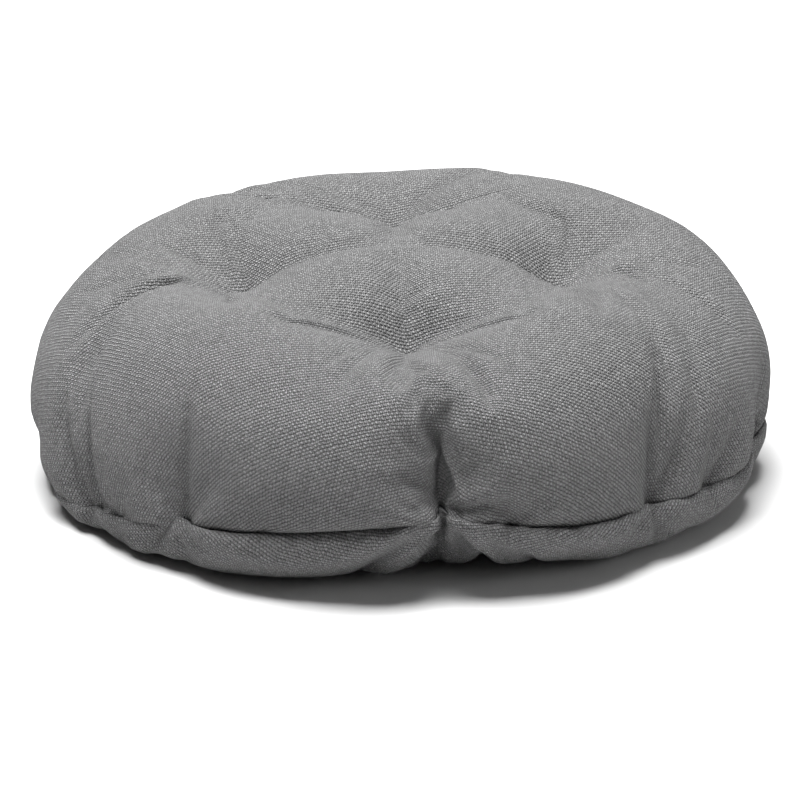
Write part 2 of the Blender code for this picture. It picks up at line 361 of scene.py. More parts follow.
# The valleys run to the front and back, and to the sides: their place across, where their tufts are along
# them, and how far they reach that way, in metres on the cut.
VALLEYS_TO_FRONT = ((0, TOP_TUFTS_IN_CUT, 0.128), (TOP_TUFTS_IN_CUT, 0, 0.085))
VALLEYS_TO_SIDES = ((0, TOP_TUFTS_IN_CUT, 0.168), (TOP_TUFTS_IN_CUT, 0, 0.095))
VALLEY_RISE = 0.043
VALLEY_LENGTH = 0.045


def valleys(cut):
    """For each point, how near it lies to a valley from 0 to 1, and how high the valley's floor is."""
    x, y = np.abs(cut[:, 0]), np.abs(cut[:, 1])
    near, floor = np.zeros(len(cut)), np.zeros(len(cut))
    for lines, across, along in ((VALLEYS_TO_FRONT, x, y), (VALLEYS_TO_SIDES, y, x)):
        for place, tuft, reach in lines:
            line = np.exp(-(((across - place) / VALLEY_WIDTH) ** 2))
            line = line * np.clip((reach - along) / VALLEY_FADE, 0, 1)
            height = TUFT_HOLD_TOP + VALLEY_RISE * (1 - np.exp(-np.abs(along - tuft) / VALLEY_LENGTH))
            floor = np.where(line > near, height, floor)
            near = np.maximum(near, line)
    return near, floor


# %% [markdown]
# ## Every point's first place
# Near the edge the points also slide round the rim to their places in the pleats. The four tuft points
# move to where the twine holds them, and take the cloth round them along. Then the valleys are lowered
# to their floors. Seam, tufts and the middle line of each valley are what the cloth is held by, so
# their points are listed too.

# %% First shape
TUFT_HOLD_BOTTOM = 0.012
SEAM_HALF_GAP = 0.0007
# Where on the way out to the edge a change starts, over what share it grows, and how steeply.
SLIDE = (0.55, 0.45, 1.5)
FOLDING = (0.72, 0.28, 1.3)
RISING = (0.85, 0.15)
# How far from a tuft point the cloth is shifted with it, and the width of the dip above and below.
TUFT_SHIFT_WIDTH = 0.035
TOP_DIP_WIDTH = 0.022
BOTTOM_DIP_WIDTH = 0.020


def first_shape(cut, cut_radius, tufts_in_cut, is_top):
    """Where each point of the cut starts, and the points that the seam and the twines hold."""
    radius, height, along = body_outline(is_top)
    out = np.hypot(cut[:, 0], cut[:, 1]) / cut_radius
    angle = np.degrees(np.arctan2(cut[:, 0], -cut[:, 1]))
    rounds = (-360, 0, 360)
    ring_cut = np.concatenate([cut_angles + turn for turn in rounds])
    ring_true = np.concatenate([ring_angles + turn for turn in rounds])
    at_seam = np.interp(angle, ring_cut, ring_true)
    start, span, power = SLIDE
    slid = angle + np.clip((out - start) / span, 0, 1) ** power * (at_seam - angle)

    fold_start, fold_span, fold_power = FOLDING
    rise_start, rise_span = RISING
    shape = np.zeros_like(cut)
    for i, spot in enumerate(out):
        x, y, z = seam_point(slid[i])
        folded = (math.hypot(x, y) - seam_radius) * max((spot - fold_start) / fold_span, 0) ** fold_power
        risen = (z - seam_height) * max((spot - rise_start) / rise_span, 0)
        r = np.interp(spot * along[-1], along, radius) + folded
        h = np.interp(spot * along[-1], along, height) + risen
        turn = math.radians(slid[i])
        shape[i] = (r * math.sin(turn), -r * math.cos(turn), h)

    held = [int(i) for i in np.where(out > 1 - 1e-4)[0]]
    for i in held:
        x, y, z = seam_point(at_seam[i])
        shape[i] = (x, y, z + (SEAM_HALF_GAP if is_top else -SEAM_HALF_GAP))
    for place in tufts.values():
        away = np.linalg.norm(cut[:, :2] - np.array(place) * tufts_in_cut / tuft_radius, axis=1)
        nearest = int(away.argmin())
        shift = np.array(place) - shape[nearest, :2]
        shape[:, :2] += shift * np.exp(-((away / TUFT_SHIFT_WIDTH) ** 2))[:, None]
        if is_top:
            shape[:, 2] -= (shape[nearest, 2] - TUFT_HOLD_TOP) * np.exp(-away / TOP_DIP_WIDTH)
        else:
            shape[:, 2] += TUFT_HOLD_BOTTOM * np.exp(-((away / BOTTOM_DIP_WIDTH) ** 2))
        held.append(nearest)
    if is_top:
        near, floor = valleys(cut)
        shape[:, 2] -= np.maximum(shape[:, 2] - floor, 0) * near
        held += [int(i) for i in np.where(near > 0.999)[0]]
    return shape, held


# %% [markdown]
# ## What size the cloth would like to be
# The solver pulls every thread back to its length in a rest shape. A flat circle as rest shape makes
# the rim bulge too far, because real canvas gives a little on the slant and so lies closer round an
# edge. The rest shape is therefore a shallow dish: full size over the top, and drawn in like a shower
# cap outside that. It is drawn in a bit more between the tufts than in line with them, more on the side
# where the stuffing has settled, and less at the back. Where the seam rides up, less cloth is needed
# to reach it, so the dish is smaller there, or the spare cloth would hang down in slanting creases. At
# each pleat it has a small ridge that runs up from the edge, the spare cloth that the pleat folds away.

# %% Rest shape
DISH_RADII = (0.0, 0.198, 0.222, 0.25, 0.265, 0.36)
DISH_SLOPES = (1.0, 1.0, 0.52, 0.5, 0.3, 0.3)
FULLER_BY_TUFTS = 0.009
# Where the panel is drawn in more (or less): the middle and half width in degrees, and the share.
SLACKS = ((-125, 38, 0.030), (175, 45, -0.022))
PLEAT_SPARE = 0.75


def rest_shape(cut, cut_radius, tufts_in_cut):
    """The dish that the top panel's threads measure themselves against."""
    out = np.hypot(cut[:, 0], cut[:, 1])
    turn = np.arctan2(cut[:, 1], cut[:, 0])
    angle = np.degrees(np.arctan2(cut[:, 0], -cut[:, 1]))
    outside = np.clip((out - tufts_in_cut) / (cut_radius - tufts_in_cut), 0, 1)
    share = 1 + FULLER_BY_TUFTS / cut_radius * np.cos(4 * turn) * outside ** 0.7
    for middle, width, drawn in SLACKS:
        share -= drawn * np.array([hump(a, middle, width) for a in angle]) * outside
    for middle, width, rise in SEAM_RISES:
        spared = max(rise, rise / 2) / cut_radius
        share -= spared * np.array([hump(a, middle, width) for a in angle]) * outside

    steps = np.linspace(0, DISH_RADII[-1], 721)
    slope = np.interp(steps, DISH_RADII, DISH_SLOPES)
    middle = (slope[1:] + slope[:-1]) / 2 * (steps[1] - steps[0])
    dish_radius = np.concatenate([[0], np.cumsum(middle)])
    dish_height = -np.concatenate([[0], np.cumsum(np.sqrt((steps[1] - steps[0]) ** 2 - middle ** 2))])
    sized = cut * share[:, None]
    reach = np.hypot(sized[:, 0], sized[:, 1])
    sized[:, :2] *= (np.interp(reach, steps, dish_radius) / np.maximum(reach, 1e-9))[:, None]
    sized[:, 2] = np.interp(reach, steps, dish_height)
    for middle, depth, half_width, run in PLEATS:
        in_cut = np.interp(middle, ring_angles, cut_angles)
        beside = np.radians((angle - in_cut + 180) % 360 - 180) * out
        ridge = np.exp(-((beside / (half_width + depth / 2)) ** 2))
        sized[:, 2] += PLEAT_SPARE * depth * ridge * np.clip((out - cut_radius + run) / (run / 2), 0, 1)
    return sized


# %% [markdown]
# ## Stuffing by pressure
# Loose fibre presses on its cover much like air does, so Blender's Cloth with pressure stands in for it.
# The pressure isn't the same everywhere. It is nearly off along the valleys and in a few small creases
# on the top. It is lower round the side, where the fibre lies looser, and much lower on the outer part
# of the underside, which only has to reach from the floor to the seam.

# %% Where the stuffing presses
VALLEY_RELIEF = 0.95
# Small creases, each from one place to another on the stuffed cushion seen from above, in metres.
CREASES = (
    ((-0.063, -0.008), (-0.029, 0.038)), ((0.038, -0.070), (0.053, -0.045)),
    ((0.030, -0.140), (0.048, -0.185)), ((0.150, -0.015), (0.190, -0.040)),
)
CREASE_WIDTH = 0.005
SIDE_RELIEF = 0.4
UNDERSIDE_RELIEF = 0.78
# Where these two start, as a share of the way out, and over what share they grow. The side's relief also
# fades before the seam.
SIDE_START, SIDE_GROWTH = 0.62, 0.15
SIDE_END, SIDE_FADE = 0.98, 0.08
UNDERSIDE_START, UNDERSIDE_GROWTH = 0.55, 0.15


def press_share(cut, is_top):
    """How much of the pressure each point of the panel takes, from 0 to 1."""
    x, y = np.abs(cut[:, 0]), np.abs(cut[:, 1])
    if not is_top:
        out = np.hypot(x, y) / BOTTOM_CUT_RADIUS
        return 1 - UNDERSIDE_RELIEF * np.clip((out - UNDERSIDE_START) / UNDERSIDE_GROWTH, 0, 1)
    valley = valleys(cut)[0]
    for start, end in CREASES:
        start, end = (np.array(place) * TOP_TUFTS_IN_CUT / tuft_radius for place in (start, end))
        run = end - start
        share = np.clip((cut[:, :2] - start) @ run / (run @ run), 0, 1)
        off = np.linalg.norm(cut[:, :2] - start - share[:, None] * run, axis=1)
        valley = np.maximum(valley, np.exp(-((off / CREASE_WIDTH) ** 2)))
    out = np.hypot(x, y) / TOP_CUT_RADIUS
    side = np.clip((out - SIDE_START) / SIDE_GROWTH, 0, 1) * np.clip((SIDE_END - out) / SIDE_FADE, 0, 1)
    return (1 - VALLEY_RELIEF * valley) * (1 - SIDE_RELIEF * side)


# %% [markdown]
# ## The cloth
# Gravity is off, and the held points are pinned. A dozen frames are enough for the cloth to settle. The
# cloth also keeps off itself, or the lips of a pleat would pass through each other. That distance has
# to stay well under half a cell: otherwise each cell pushes its own neighbours away.
#
# The cloth modifier reads a rest shape only when a modifier that makes geometry stands before it, so an
# idle Edge Split is put there. It splits nothing.

# %% Cloth
STUFFING_PRESSURE = 250
SETTLING_FRAMES = 12


def weight_group(piece, name, weights):
    """Makes a vertex group from pairs of a point and its weight."""
    group = piece.vertex_groups.new(name=name)
    for i, weight in weights:
        group.add([i], float(weight), "REPLACE")
    return name


def stuff(piece, rest, held, shares):
    """Runs the cloth with the stuffing's pressure and returns the settled mesh."""
    piece.shape_key_add(name="Basis")
    key = piece.shape_key_add(name="rest")
    key.data.foreach_set("co", rest.reshape(-1))
    idle = piece.modifiers.new("idle", "EDGE_SPLIT")
    idle.use_edge_angle = False
    idle.use_edge_sharp = False
    cloth = piece.modifiers.new("cloth", "CLOTH")
    settings = cloth.settings
    settings.quality = 8
    settings.mass = 0.05
    settings.tension_stiffness = 80
    settings.compression_stiffness = 3
    settings.shear_stiffness = 1.5
    settings.bending_stiffness = 0.0006
    settings.tension_damping = settings.compression_damping = settings.shear_damping = 0.05
    settings.bending_damping = 0.001
    settings.air_damping = 1
    settings.vertex_group_mass = weight_group(piece, "held", [(i, 1) for i in held])
    settings.pin_stiffness = 1
    settings.use_pressure = True
    settings.uniform_pressure_force = STUFFING_PRESSURE
    settings.vertex_group_pressure = weight_group(piece, "pressed", enumerate(shares))
    settings.rest_shape_key = key
    settings.effector_weights.gravity = 0
    collision = cloth.collision_settings
    collision.use_collision = True
    collision.distance_min = 0.0015
    collision.use_self_collision = True
    collision.self_distance_min = CELL / 3
    collision.self_friction = 5
    cloth.point_cache.frame_start = 1
    cloth.point_cache.frame_end = SETTLING_FRAMES + 1
    scene.frame_start = 1
    scene.frame_end = SETTLING_FRAMES + 1
    for frame_number in range(1, SETTLING_FRAMES + 1):
        scene.frame_set(frame_number)
    settled = finished_mesh(piece)
    settled.name = piece.name
    return settled


# %% [markdown]
# ## Both panels
# The bottom panel is stuffed on a board, which keeps the underside flat. The top panel touches nothing.

# %% Both panels, stuffed
BOARD_HEIGHT = -0.0001


def add_work_board():
    board = add_square("work_board", 1, BOARD_HEIGHT)
    board.modifiers.new("collision", "COLLISION")
    board.collision.thickness_outer = 0.001
    board.collision.thickness_inner = 0.05
    board.collision.cloth_friction = 1
    return board


def make_panel(name, cut_radius, tufts_in_cut, is_top):
    """A panel, cut flat, hung over the body, and stuffed. Returns its settled mesh."""
    mesh = cut_panel(name, cut_radius, tufts_in_cut)
    cut = points_of(mesh)
    shape, held = first_shape(cut, cut_radius, tufts_in_cut, is_top)
    rest = rest_shape(cut, cut_radius, tufts_in_cut) if is_top else cut
    mesh.vertices.foreach_set("co", shape.reshape(-1))
    if not is_top:
        mesh.flip_normals()
    piece = add_object(name, mesh)
    board = None if is_top else add_work_board()
    settled = stuff(piece, rest, held, press_share(cut, is_top))
    for helper in filter(None, (piece, board)):
        bpy.data.objects.remove(helper)
    points = points_of(settled)
    lowest, highest = points[:, 2].min(), points[:, 2].max()
    widest = np.hypot(points[:, 0], points[:, 1]).max()
    print(f"{name}: heights {lowest:.4f} to {highest:.4f} m, out to {widest:.4f} m")
    return settled


top_sheet = make_panel("top_panel", TOP_CUT_RADIUS, TOP_TUFTS_IN_CUT, True)
bottom_sheet = make_panel("bottom_panel", BOTTOM_CUT_RADIUS, BOTTOM_TUFTS_IN_CUT, False)

# %% [markdown]
# ## Finishing the canvas
# A settled sheet is still a mesh with no thickness that stops at the seam. On the real cushion the cloth
# goes on past the stitches: a seam allowance is turned inwards, where the two panels lie on each other.
# The edge ring is extruded towards the axis for that, and its first edge is creased so that it turns as
# sharply as folded canvas does. Solidify gives the canvas its thickness, and one subdivision rounds it.

# %% Thickness and seam allowance
CANVAS_THICKNESS = 0.0012
ALLOWANCE = 0.010
SEAM_CREASE = 0.9


def turn_in_allowance(mesh, cut_radius):
    """Turns the panel's edge inwards at the seam, level with the other panel's."""
    sheet = bmesh.new()
    sheet.from_mesh(mesh)
    cut_map = sheet.loops.layers.uv["cut"]
    crease = sheet.edges.layers.float.new("crease_edge")
    rim = [edge for edge in sheet.edges if edge.is_boundary]
    for edge in rim:
        edge[crease] = SEAM_CREASE
    made = bmesh.ops.extrude_edge_only(sheet, edges=rim)["geom"]
    for vert in (item for item in made if isinstance(item, bmesh.types.BMVert)):
        inwards = Vector((vert.co.x, vert.co.y, 0)).normalized()
        vert.co -= inwards * ALLOWANCE
    for face in (item for item in made if isinstance(item, bmesh.types.BMFace)):
        face.smooth = True
    # The allowance goes on where the cut stops, so its threads run on too.
    known = {}
    for face in sheet.faces:
        for loop in face.loops:
            if loop[cut_map].uv.length > 1e-6:
                known.setdefault(loop.vert, loop[cut_map].uv.copy())
    middle = Vector((0.5, 0.5))
    for edge in [edge for edge in sheet.edges if edge.is_boundary]:
        for vert in edge.verts:
            inner = next(e.other_vert(vert) for e in vert.link_edges if not e.is_boundary)
            for loop in vert.link_loops:
                loop[cut_map].uv = middle + (known[inner] - middle) * (1 + ALLOWANCE / cut_radius)
    for face in sheet.faces:
        for loop in face.loops:
            if not loop.vert.is_boundary:
                loop[cut_map].uv = known[loop.vert]
    sheet.to_mesh(mesh)
    sheet.free()


def finish_panel(mesh, cut_radius):
    """The settled sheet as a piece of canvas with a thickness."""
    turn_in_allowance(mesh, cut_radius)
    piece = add_object(mesh.name, mesh)
    wall = piece.modifiers.new("thickness", "SOLIDIFY")
    wall.thickness = CANVAS_THICKNESS
    wall.offset = 0
    smooth = piece.modifiers.new("smooth", "SUBSURF")
    smooth.levels = smooth.render_levels = 1
    finished = finished_mesh(piece)
    piece.modifiers.clear()
    piece.data = finished
    print(f"{piece.name}: {len(finished.polygons)} faces")
    return piece


def search_tree(mesh):
    """The settled sheet as a tree that rays can be sent at."""
    return BVHTree.FromPolygons([v.co for v in mesh.vertices], [p.vertices for p in mesh.polygons])


top_tree, bottom_tree = search_tree(top_sheet), search_tree(bottom_sheet)
top_panel = finish_panel(top_sheet, TOP_CUT_RADIUS)
bottom_panel = finish_panel(bottom_sheet, BOTTOM_CUT_RADIUS)

# %% [markdown]
# ## The fibre inside
# Nobody sees the stuffing, but the cushion is a real object and holds some. It is one soft body that
# follows both panels from inside. Rays sent down and up through a round fan of places find the cloth,
# and the body stays a little clear of the lowest cloth round each place, so it doesn't come through
# where the tufts are steep.

# %% Fibre body
FIBRE_CLEARANCE = 0.004
FIBRE_RINGS = 26
FIBRE_TURNS = 96
FIBRE_RADIUS = 0.188


def cloth_height(tree, x, y, upwards):
    """The height of the inside of a panel over a place, or None outside it."""
    start = Vector((x, y, -1 if upwards else 1))
    hit = tree.ray_cast(start, Vector((0, 0, 1 if upwards else -1)))[0]
    return None if hit is None else hit.z


def fibre_height(x, y, is_top):
    """The height of the fibre under (or over) the nearest cloth."""
    around = [(0, 0)]
    for reach in (0.005, 0.010):
        around += [(reach * math.cos(k * math.pi / 4), reach * math.sin(k * math.pi / 4)) for k in range(8)]
    tree = top_tree if is_top else bottom_tree
    found = [cloth_height(tree, x + dx, y + dy, not is_top) for dx, dy in around]
    found = [height for height in found if height is not None]
    return min(found) - FIBRE_CLEARANCE if is_top else max(found) + FIBRE_CLEARANCE


def make_fibre():
    body = bmesh.new()
    layers = []
    for is_top in (True, False):
        rings = []
        for ring in range(1, FIBRE_RINGS + 1):
            radius = FIBRE_RADIUS * math.sin(ring / FIBRE_RINGS * math.pi / 2)
            row = []
            for step in range(FIBRE_TURNS):
                turn = 2 * math.pi * step / FIBRE_TURNS
                x, y = radius * math.cos(turn), radius * math.sin(turn)
                row.append(body.verts.new((x, y, fibre_height(x, y, is_top))))
            rings.append(row)
        pole = body.verts.new((0, 0, fibre_height(0, 0, is_top)))
        layers.append((pole, rings))
    for pole, rings in layers:
        for step in range(FIBRE_TURNS):
            following = (step + 1) % FIBRE_TURNS
            body.faces.new((pole, rings[0][step], rings[0][following]))
            for inner, outer in zip(rings, rings[1:]):
                body.faces.new((inner[step], outer[step], outer[following], inner[following]))
    top_edge, bottom_edge = layers[0][1][-1], layers[1][1][-1]
    for step in range(FIBRE_TURNS):
        following = (step + 1) % FIBRE_TURNS
        body.faces.new((top_edge[step], bottom_edge[step], bottom_edge[following], top_edge[following]))
    bmesh.ops.recalc_face_normals(body, faces=body.faces[:])
    for face in body.faces:
        face.smooth = True
    mesh = bpy.data.meshes.new("fibre_filling")
    body.to_mesh(mesh)
    body.free()
    print(f"fibre: {len(mesh.polygons)} faces")
    return add_object("fibre_filling", mesh)


fibre_filling = make_fibre()

# %% [markdown]
# ## Materials
# Four finishes: the canvas, the fibre, the sewing thread and the waxed twine. Each is a small node tree
# built by the same two helpers, so that the formulas stay readable.

# %% Node helpers
def new_material(name):
    """A material with its shader, ready for more nodes."""
    material = bpy.data.materials.new(name)
    material.use_nodes = True
    return material, material.node_tree, material.node_tree.nodes["Principled BSDF"]


def put(socket, value):
    """Sets a socket to a number or a colour, or links another node's socket to it."""
    if isinstance(value, bpy.types.NodeSocket):
        socket.id_data.links.new(value, socket)
    else:
        socket.default_value = value


def maths(tree, operation, first, second=0.0, third=0.0):
    """One Math node."""
    node = tree.nodes.new("ShaderNodeMath")
    node.operation = operation
    for socket, value in zip(node.inputs, (first, second, third)):
        put(socket, value)
    return node.outputs[0]


def noise(tree, vector, scale, detail=2.0, roughness=0.5):
    """One Noise Texture, from 0 to 1 and about a half."""
    node = tree.nodes.new("ShaderNodeTexNoise")
    node.noise_dimensions = "3D"
    put(node.inputs["Vector"], vector)
    put(node.inputs["Scale"], scale)
    put(node.inputs["Detail"], detail)
    put(node.inputs["Roughness"], roughness)
    return node.outputs["Fac"]


def blend_colours(tree, share, first, second):
    """One Mix node for colours."""
    node = tree.nodes.new("ShaderNodeMix")
    node.data_type = "RGBA"
    put(node.inputs["Factor"], share)
    put(node.inputs[6], first)
    put(node.inputs[7], second)
    return node.outputs[2]


def vector_maths(tree, operation, first, second):
    """One Vector Math node."""
    node = tree.nodes.new("ShaderNodeVectorMath")
    node.operation = operation
    put(node.inputs[0], first)
    put(node.inputs[1], second)
    return node.outputs[0]


def bumped(tree, shader, height, distance):
    """One Bump node on the shader, with its height and how deep that goes in metres."""
    node = tree.nodes.new("ShaderNodeBump")
    node.inputs["Strength"].default_value = 1.0
    node.inputs["Distance"].default_value = distance
    put(node.inputs["Height"], height)
    put(shader.inputs["Normal"], node.outputs["Normal"])


# %% [markdown]
# ## Canvas
# The canvas is a plain weave of thick, soft yarn. The filling yarns run along x and are the fatter ones:
# each goes over one warp yarn and under the next, so it shows as a row of plump grains, and every second
# row is shifted by one warp yarn. With `u` counted in warp yarns and `v` in filling yarns, a grain's
# height is the yarn's round back across `v` times a slow wave along `u`. Where the filling yarn dips, the
# warp yarn comes up between, lower and narrower. Each grain leans a little, as spun yarn does.
#
# Real yarn isn't even. A slow noise pushes the lattice about, a long one along the yarns makes lighter
# and darker lengths, streaks stand for the fibres spun into a yarn, and by chance one grain is a bit
# lighter than the next. The colour goes from the shade between the yarns to their lit backs.

# %% Canvas material
WARP_PITCH = 0.00136
FILLING_PITCH = 0.00225
YARN_RELIEF = 0.0024
YARN_SLANT = 0.5
CANVAS_SHADE = (0.0015, 0.0015, 0.0016, 1)
CANVAS_BODY = (0.085, 0.085, 0.086, 1)
CANVAS_LIGHT = (0.62, 0.62, 0.622, 1)


def yarn_back(tree, across, along):
    """A yarn's height: its round back across it times its wave along it."""
    return maths(tree, "MULTIPLY", maths(tree, "POWER", across, 0.5), maths(tree, "POWER", along, 0.6))


def weave_height(tree, cut):
    """The height of the woven surface from 0 to 1, and a chance number for each grain."""
    parts = tree.nodes.new("ShaderNodeSeparateXYZ")
    put(parts.inputs[0], cut)
    sway_u = maths(tree, "MULTIPLY_ADD", noise(tree, cut, 150), 1.5, -0.75)
    elsewhere = vector_maths(tree, "ADD", cut, (3.7, 1.9, 0))
    sway_v = maths(tree, "MULTIPLY_ADD", noise(tree, elsewhere, 150), 1.1, -0.55)
    u = maths(tree, "ADD", maths(tree, "DIVIDE", parts.outputs["X"], WARP_PITCH), sway_u)
    v = maths(tree, "ADD", maths(tree, "DIVIDE", parts.outputs["Y"], FILLING_PITCH), sway_v)
    row = maths(tree, "FLOOR", v)
    slant = maths(tree, "MULTIPLY_ADD", maths(tree, "FRACT", v), YARN_SLANT, -YARN_SLANT / 2)
    u = maths(tree, "ADD", u, slant)
    stagger = maths(tree, "ADD", u, row)
    turn = maths(tree, "MULTIPLY", stagger, math.pi)
    over = maths(tree, "MULTIPLY_ADD", maths(tree, "COSINE", turn), 0.5, 0.5)
    across_filling = maths(tree, "ABSOLUTE", maths(tree, "SINE", maths(tree, "MULTIPLY", v, math.pi)))
    across_warp = maths(tree, "ABSOLUTE", maths(tree, "COSINE", maths(tree, "MULTIPLY", u, math.pi)))
    under = maths(tree, "SUBTRACT", 1.0, over)
    filling = yarn_back(tree, across_filling, over)
    warp = maths(tree, "MULTIPLY", yarn_back(tree, across_warp, under), 0.70)
    grain = tree.nodes.new("ShaderNodeCombineXYZ")
    put(grain.inputs["X"], maths(tree, "ROUND", stagger))
    put(grain.inputs["Y"], row)
    chance = tree.nodes.new("ShaderNodeTexWhiteNoise")
    chance.noise_dimensions = "2D"
    put(chance.inputs["Vector"], grain.outputs[0])
    return maths(tree, "MAXIMUM", filling, warp), chance.outputs["Value"]


def make_canvas():
    """The woven finish on the cut's UV map."""
    material, tree, shader = new_material("grey_canvas")
    uv = tree.nodes.new("ShaderNodeUVMap")
    uv.uv_map = "cut"
    cut = uv.outputs["UV"]
    height, chance = weave_height(tree, cut)

    streaks = noise(tree, vector_maths(tree, "MULTIPLY", cut, (1100.0, 2600.0, 1.0)), 1.0, 3.0, 0.8)
    slubs = noise(tree, vector_maths(tree, "MULTIPLY", cut, (70.0, 444.0, 1.0)), 1.0, 2.0)
    patches = noise(tree, cut, 14.0, 3.0)
    lit = maths(tree, "MULTIPLY_ADD", streaks, 1.6, maths(tree, "MULTIPLY_ADD", chance, 0.25, -0.62))
    yarn = blend_colours(tree, lit, CANVAS_BODY, CANVAS_LIGHT)
    depth = maths(tree, "MULTIPLY_ADD", height, 4.0, -1.75)
    woven = blend_colours(tree, depth, CANVAS_SHADE, yarn)
    tone = maths(tree, "ADD", maths(tree, "MULTIPLY", slubs, 0.22), maths(tree, "MULTIPLY", patches, 0.12))
    toned = tree.nodes.new("ShaderNodeHueSaturation")
    put(toned.inputs["Value"], maths(tree, "ADD", tone, 0.83))
    put(toned.inputs["Color"], woven)
    put(shader.inputs["Base Color"], toned.outputs["Color"])
    put(shader.inputs["Roughness"], maths(tree, "MULTIPLY_ADD", height, -0.08, 0.95))
    shader.inputs["Specular IOR Level"].default_value = 0.2
    shader.inputs["Sheen Weight"].default_value = 0.12
    shader.inputs["Sheen Roughness"].default_value = 0.5
    relief = maths(tree, "MULTIPLY_ADD", streaks, 0.25, height)
    bumped(tree, shader, relief, YARN_RELIEF)
    return material


canvas = make_canvas()
print("canvas:", len(canvas.node_tree.nodes), "nodes")

# %% [markdown]
# ## Fibre, thread and twine
# The fibre is white polyester: soft curls, seen as noise at the size of a curl. The sewing thread is a
# thin spun thread with a faint shine, and the twine is thicker and waxed, so its highlights are a bit
# tighter. The twine's twist and the thread's stitches are real geometry, so their bump only adds fine
# fibres.

# %% Fibre, thread and twine materials
def make_soft_material(name, dark, light, grain, relief, roughness, sheen):
    """A fibrous finish: a fine grain between two colours, with a small relief."""
    material, tree, shader = new_material(name)
    place = tree.nodes.new("ShaderNodeTexCoord").outputs["Object"]
    fine = noise(tree, place, grain, 4.0, 0.65)
    broad = noise(tree, place, grain / 6, 2.0)
    share = maths(tree, "MULTIPLY_ADD", broad, 0.4, maths(tree, "MULTIPLY", fine, 0.7))
    put(shader.inputs["Base Color"], blend_colours(tree, share, dark, light))
    put(shader.inputs["Roughness"], maths(tree, "MULTIPLY_ADD", fine, -0.15, roughness))
    shader.inputs["Sheen Weight"].default_value = sheen
    bumped(tree, shader, fine, relief)
    return material


fibre = make_soft_material(
    "white_fibre", (0.62, 0.62, 0.60, 1), (0.86, 0.86, 0.85, 1), 160, 0.0015, 0.95, 0.3,
)
thread = make_soft_material(
    "grey_thread", (0.07, 0.07, 0.072, 1), (0.17, 0.17, 0.173, 1), 2600, 0.0001, 0.75, 0.1,
)
twine = make_soft_material(
    "waxed_twine", (0.05, 0.05, 0.052, 1), (0.16, 0.16, 0.163, 1), 1400, 0.00015, 0.6, 0.0,
)
print("materials:", ", ".join(material.name for material in (canvas, fibre, thread, twine)))

# %% [markdown]
# ## A geometry tree for twisted cord
# Twine and thread are both several strands laid round each other. This tree makes the twine from its
# path: it walks along the path in small steps, moves each strand out from the middle by a fixed amount
# that turns as it goes, and sweeps a small circle along every strand. Its sizes are named inputs.

# %% Twisted cord tree
def vector_scaled(tree, vector, amount):
    """One Vector Math node that scales a vector evenly."""
    node = tree.nodes.new("ShaderNodeVectorMath")
    node.operation = "SCALE"
    put(node.inputs[0], vector)
    put(node.inputs["Scale"], amount)
    return node.outputs[0]


def add_inputs(tree, numbers):
    """The tree's path and result, its named number inputs and its material."""
    tree.interface.new_socket("Path", in_out="INPUT", socket_type="NodeSocketGeometry")
    for name in numbers:
        tree.interface.new_socket(name, in_out="INPUT", socket_type="NodeSocketFloat")
    tree.interface.new_socket("Material", in_out="INPUT", socket_type="NodeSocketMaterial")
    tree.interface.new_socket("Result", in_out="OUTPUT", socket_type="NodeSocketGeometry")
    return tree.nodes.new("NodeGroupInput").outputs, tree.nodes.new("NodeGroupOutput").inputs


def finish_tree(tree, geometry, given, result):
    """The tree's last steps: real geometry in place of instances, and its material."""
    realise = tree.nodes.new("GeometryNodeRealizeInstances")
    put(realise.inputs[0], geometry)
    dress = tree.nodes.new("GeometryNodeSetMaterial")
    put(dress.inputs["Geometry"], realise.outputs[0])
    put(dress.inputs["Material"], given["Material"])
    put(result["Result"], dress.outputs[0])


def twisted_cord_tree(strands):
    """Lays a number of strands round a path."""
    tree = bpy.data.node_groups.new(f"twisted_cord_{strands}", "GeometryNodeTree")
    given, result = add_inputs(tree, ("Step", "Strand Radius", "Lay Radius", "Turns per Metre"))
    steps = tree.nodes.new("GeometryNodeResampleCurve")
    steps.mode = "LENGTH"
    put(steps.inputs["Curve"], given["Path"])
    put(steps.inputs["Length"], given["Step"])
    along = tree.nodes.new("GeometryNodeSplineParameter").outputs["Length"]
    tangent = tree.nodes.new("GeometryNodeInputTangent").outputs[0]
    side = tree.nodes.new("GeometryNodeInputNormal").outputs[0]
    other_side = vector_maths(tree, "CROSS_PRODUCT", tangent, side)
    turns = maths(tree, "MULTIPLY", along, given["Turns per Metre"])
    turn = maths(tree, "MULTIPLY", turns, math.tau)
    profile = tree.nodes.new("GeometryNodeCurvePrimitiveCircle")
    profile.inputs["Resolution"].default_value = 8
    put(profile.inputs["Radius"], given["Strand Radius"])
    joined = tree.nodes.new("GeometryNodeJoinGeometry")
    for strand in range(strands):
        angle = maths(tree, "ADD", turn, math.tau * strand / strands)
        reach_side = vector_scaled(tree, side, maths(tree, "COSINE", angle))
        reach_other = vector_scaled(tree, other_side, maths(tree, "SINE", angle))
        outwards = vector_maths(tree, "ADD", reach_side, reach_other)
        reach = vector_scaled(tree, outwards, given["Lay Radius"])
        moved = tree.nodes.new("GeometryNodeSetPosition")
        put(moved.inputs["Geometry"], steps.outputs["Curve"])
        put(moved.inputs["Offset"], reach)
        swept = tree.nodes.new("GeometryNodeCurveToMesh")
        put(swept.inputs["Curve"], moved.outputs["Geometry"])
        put(swept.inputs["Profile Curve"], profile.outputs["Curve"])
        swept.inputs["Fill Caps"].default_value = True
        put(joined.inputs["Geometry"], swept.outputs["Mesh"])
    finish_tree(tree, joined.outputs["Geometry"], given, result)
    return tree


